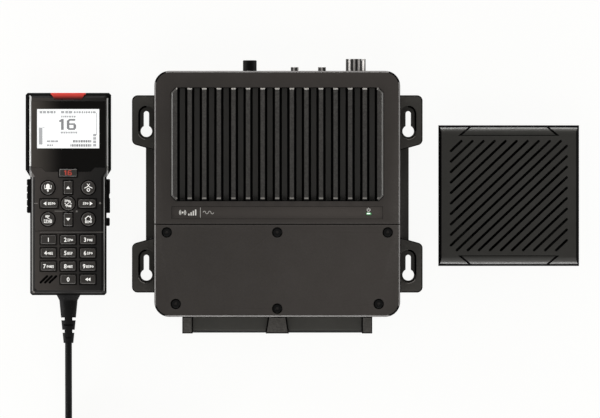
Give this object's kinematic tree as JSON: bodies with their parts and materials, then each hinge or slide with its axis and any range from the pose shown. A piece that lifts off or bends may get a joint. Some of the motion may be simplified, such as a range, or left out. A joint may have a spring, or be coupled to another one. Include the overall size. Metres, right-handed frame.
{
  "type": "vhf marine radio",
  "caption": "Black-box marine radio set: wall-mount transceiver with finned cover, wired handset with display and keypad, and extension speaker.",
  "frame": {"origin": "centre of the four wall-screw keyholes, on the transceiver's back plane", "axes": "+Z out of the units' faces, +Y towards their tops, +X towards the speaker"},
  "size_m": [0.443, 0.3713, 0.0576],
  "materials": {
    "painted_metal": "fine satin powder coat",
    "painted_metal_plate": "fine satin powder coat",
    "painted_metal_fins": "satin powder coat",
    "steel": "plain",
    "black_steel": "satin black",
    "rubber": "matte",
    "board": "green solder mask",
    "black_plastic": "matte",
    "lamp": "clear green",
    "nickel": "nickel plated",
    "handset_plastic": "fine matte grain",
    "lens": "smooth",
    "screen": "backlit",
    "cord": "smooth",
    "speaker_plastic": "fine matte grain",
    "cone_paper": "matte",
    "key_plastic": "matte",
    "red_plastic": "satin red"
  },
  "bodies": {
    "set": {"mounting_plate": "painted_metal_plate", "plate_screws": "steel", "rear_chassis": "painted_metal", "cover_seal": "rubber", "top_cover": "painted_metal", "cable_cover": "painted_metal", "cover_screws": "black_steel", "heatsink": "painted_metal_fins", "main_board": "board", "amplifier_module": "steel", "terminal_block": "black_plastic", "power_lamp": "lamp", "cable_grommets": "rubber", "antenna_socket": "nickel", "sma_sockets": "nickel", "data_socket": "black_plastic", "handset_rear_shell": "handset_plastic", "handset_front_shell": "handset_plastic", "display_lens": "lens", "display_screen": "screen", "handset_board": "board", "key_membrane": "rubber", "earpiece": "black_plastic", "handset_screws": "black_steel", "strain_relief": "rubber", "handset_cord": "cord", "cord_coil": "cord", "cord_plug": "black_plastic", "speaker_bezel": "speaker_plastic", "speaker_housing": "speaker_plastic", "speaker_screws": "black_steel", "speaker_driver": "steel", "speaker_cone": "cone_paper"},
    "data_cap_body": {"data_cap": "rubber"},
    "ptt_button_body": {"ptt_button": "rubber"},
    "volume_rocker_body": {"volume_rocker": "rubber"},
    "power_button_body": {"power_button": "rubber"},
    "distress_cover_body": {"distress_cover": "red_plastic"},
    "distress_button_body": {"distress_button": "red_plastic"},
    "key_alert_body": {"key_alert": "key_plastic"},
    "key_squelch_body": {"key_squelch": "key_plastic"},
    "key_menu_body": {"key_menu": "key_plastic"},
    "key_home_body": {"key_home": "key_plastic"},
    "key_select_body": {"key_select": "key_plastic"},
    "key_up_body": {"key_up": "key_plastic"},
    "key_down_body": {"key_down": "key_plastic"},
    "key_left_body": {"key_left": "key_plastic"},
    "key_right_body": {"key_right": "key_plastic"},
    "key_channel_body": {"key_channel": "key_plastic"},
    "key_0_body": {"key_0": "key_plastic"},
    "key_back_body": {"key_back": "key_plastic"},
    "key_1_body": {"key_1": "key_plastic"},
    "key_2_body": {"key_2": "key_plastic"},
    "key_3_body": {"key_3": "key_plastic"},
    "key_4_body": {"key_4": "key_plastic"},
    "key_5_body": {"key_5": "key_plastic"},
    "key_6_body": {"key_6": "key_plastic"},
    "key_7_body": {"key_7": "key_plastic"},
    "key_8_body": {"key_8": "key_plastic"},
    "key_9_body": {"key_9": "key_plastic"}
  },
  "joints": [
    {"name": "data_cap_pull", "type": "slide", "parent": "set", "child": "data_cap_body", "axis": [0, 1, 0], "range_m": [0, 0.015]},
    {"name": "ptt_press", "type": "slide", "parent": "set", "child": "ptt_button_body", "axis": [1, 0, 0], "range_m": [0, 0.0012], "stiffness_N_per_m": 600, "springref_m": -0.001},
    {"name": "volume_tilt", "type": "hinge", "parent": "set", "child": "volume_rocker_body", "pos_m": [-0.1385, 0.0056, 0.011], "axis": [0, 0, 1], "range_deg": [-3, 3], "stiffness_Nm_per_rad": 0.15},
    {"name": "power_press", "type": "slide", "parent": "set", "child": "power_button_body", "axis": [-1, 0, 0], "range_m": [0, 0.001], "stiffness_N_per_m": 400, "springref_m": -0.001},
    {"name": "distress_cover_lift", "type": "hinge", "parent": "set", "child": "distress_cover_body", "pos_m": [-0.1674, 0.0866, 0.0114], "axis": [-1, 0, 0], "range_deg": [0, 100], "stiffness_Nm_per_rad": 0.01, "springref_deg": -28.65},
    {"name": "distress_press", "type": "slide", "parent": "set", "child": "distress_button_body", "axis": [0, -1, 0], "range_m": [0, 0.001], "stiffness_N_per_m": 500, "springref_m": -0.001},
    {"name": "key_alert_press", "type": "slide", "parent": "set", "child": "key_alert_body", "axis": [0, 0, -1], "range_m": [0, 0.0006], "stiffness_N_per_m": 300, "springref_m": -0.001},
    {"name": "key_squelch_press", "type": "slide", "parent": "set", "child": "key_squelch_body", "axis": [0, 0, -1], "range_m": [0, 0.0006], "stiffness_N_per_m": 300, "springref_m": -0.001},
    {"name": "key_menu_press", "type": "slide", "parent": "set", "child": "key_menu_body", "axis": [0, 0, -1], "range_m": [0, 0.0006], "stiffness_N_per_m": 300, "springref_m": -0.001},
    {"name": "key_home_press", "type": "slide", "parent": "set", "child": "key_home_body", "axis": [0, 0, -1], "range_m": [0, 0.0006], "stiffness_N_per_m": 300, "springref_m": -0.001},
    {"name": "key_select_press", "type": "slide", "parent": "set", "child": "key_select_body", "axis": [0, 0, -1], "range_m": [0, 0.0006], "stiffness_N_per_m": 300, "springref_m": -0.001},
    {"name": "key_up_press", "type": "slide", "parent": "set", "child": "key_up_body", "axis": [0, 0, -1], "range_m": [0, 0.0006], "stiffness_N_per_m": 300, "springref_m": -0.001},
    {"name": "key_down_press", "type": "slide", "parent": "set", "child": "key_down_body", "axis": [0, 0, -1], "range_m": [0, 0.0006], "stiffness_N_per_m": 300, "springref_m": -0.001},
    {"name": "key_left_press", "type": "slide", "parent": "set", "child": "key_left_body", "axis": [0, 0, -1], "range_m": [0, 0.0006], "stiffness_N_per_m": 300, "springref_m": -0.001},
    {"name": "key_right_press", "type": "slide", "parent": "set", "child": "key_right_body", "axis": [0, 0, -1], "range_m": [0, 0.0006], "stiffness_N_per_m": 300, "springref_m": -0.001},
    {"name": "key_channel_press", "type": "slide", "parent": "set", "child": "key_channel_body", "axis": [0, 0, -1], "range_m": [0, 0.0006], "stiffness_N_per_m": 300, "springref_m": -0.001},
    {"name": "key_0_press", "type": "slide", "parent": "set", "child": "key_0_body", "axis": [0, 0, -1], "range_m": [0, 0.0006], "stiffness_N_per_m": 300, "springref_m": -0.001},
    {"name": "key_back_press", "type": "slide", "parent": "set", "child": "key_back_body", "axis": [0, 0, -1], "range_m": [0, 0.0006], "stiffness_N_per_m": 300, "springref_m": -0.001},
    {"name": "key_1_press", "type": "slide", "parent": "set", "child": "key_1_body", "axis": [0, 0, -1], "range_m": [0, 0.0006], "stiffness_N_per_m": 300, "springref_m": -0.001},
    {"name": "key_2_press", "type": "slide", "parent": "set", "child": "key_2_body", "axis": [0, 0, -1], "range_m": [0, 0.0006], "stiffness_N_per_m": 300, "springref_m": -0.001},
    {"name": "key_3_press", "type": "slide", "parent": "set", "child": "key_3_body", "axis": [0, 0, -1], "range_m": [0, 0.0006], "stiffness_N_per_m": 300, "springref_m": -0.001},
    {"name": "key_4_press", "type": "slide", "parent": "set", "child": "key_4_body", "axis": [0, 0, -1], "range_m": [0, 0.0006], "stiffness_N_per_m": 300, "springref_m": -0.001},
    {"name": "key_5_press", "type": "slide", "parent": "set", "child": "key_5_body", "axis": [0, 0, -1], "range_m": [0, 0.0006], "stiffness_N_per_m": 300, "springref_m": -0.001},
    {"name": "key_6_press", "type": "slide", "parent": "set", "child": "key_6_body", "axis": [0, 0, -1], "range_m": [0, 0.0006], "stiffness_N_per_m": 300, "springref_m": -0.001},
    {"name": "key_7_press", "type": "slide", "parent": "set", "child": "key_7_body", "axis": [0, 0, -1], "range_m": [0, 0.0006], "stiffness_N_per_m": 300, "springref_m": -0.001},
    {"name": "key_8_press", "type": "slide", "parent": "set", "child": "key_8_body", "axis": [0, 0, -1], "range_m": [0, 0.0006], "stiffness_N_per_m": 300, "springref_m": -0.001},
    {"name": "key_9_press", "type": "slide", "parent": "set", "child": "key_9_body", "axis": [0, 0, -1], "range_m": [0, 0.0006], "stiffness_N_per_m": 300, "springref_m": -0.001}
  ]
}
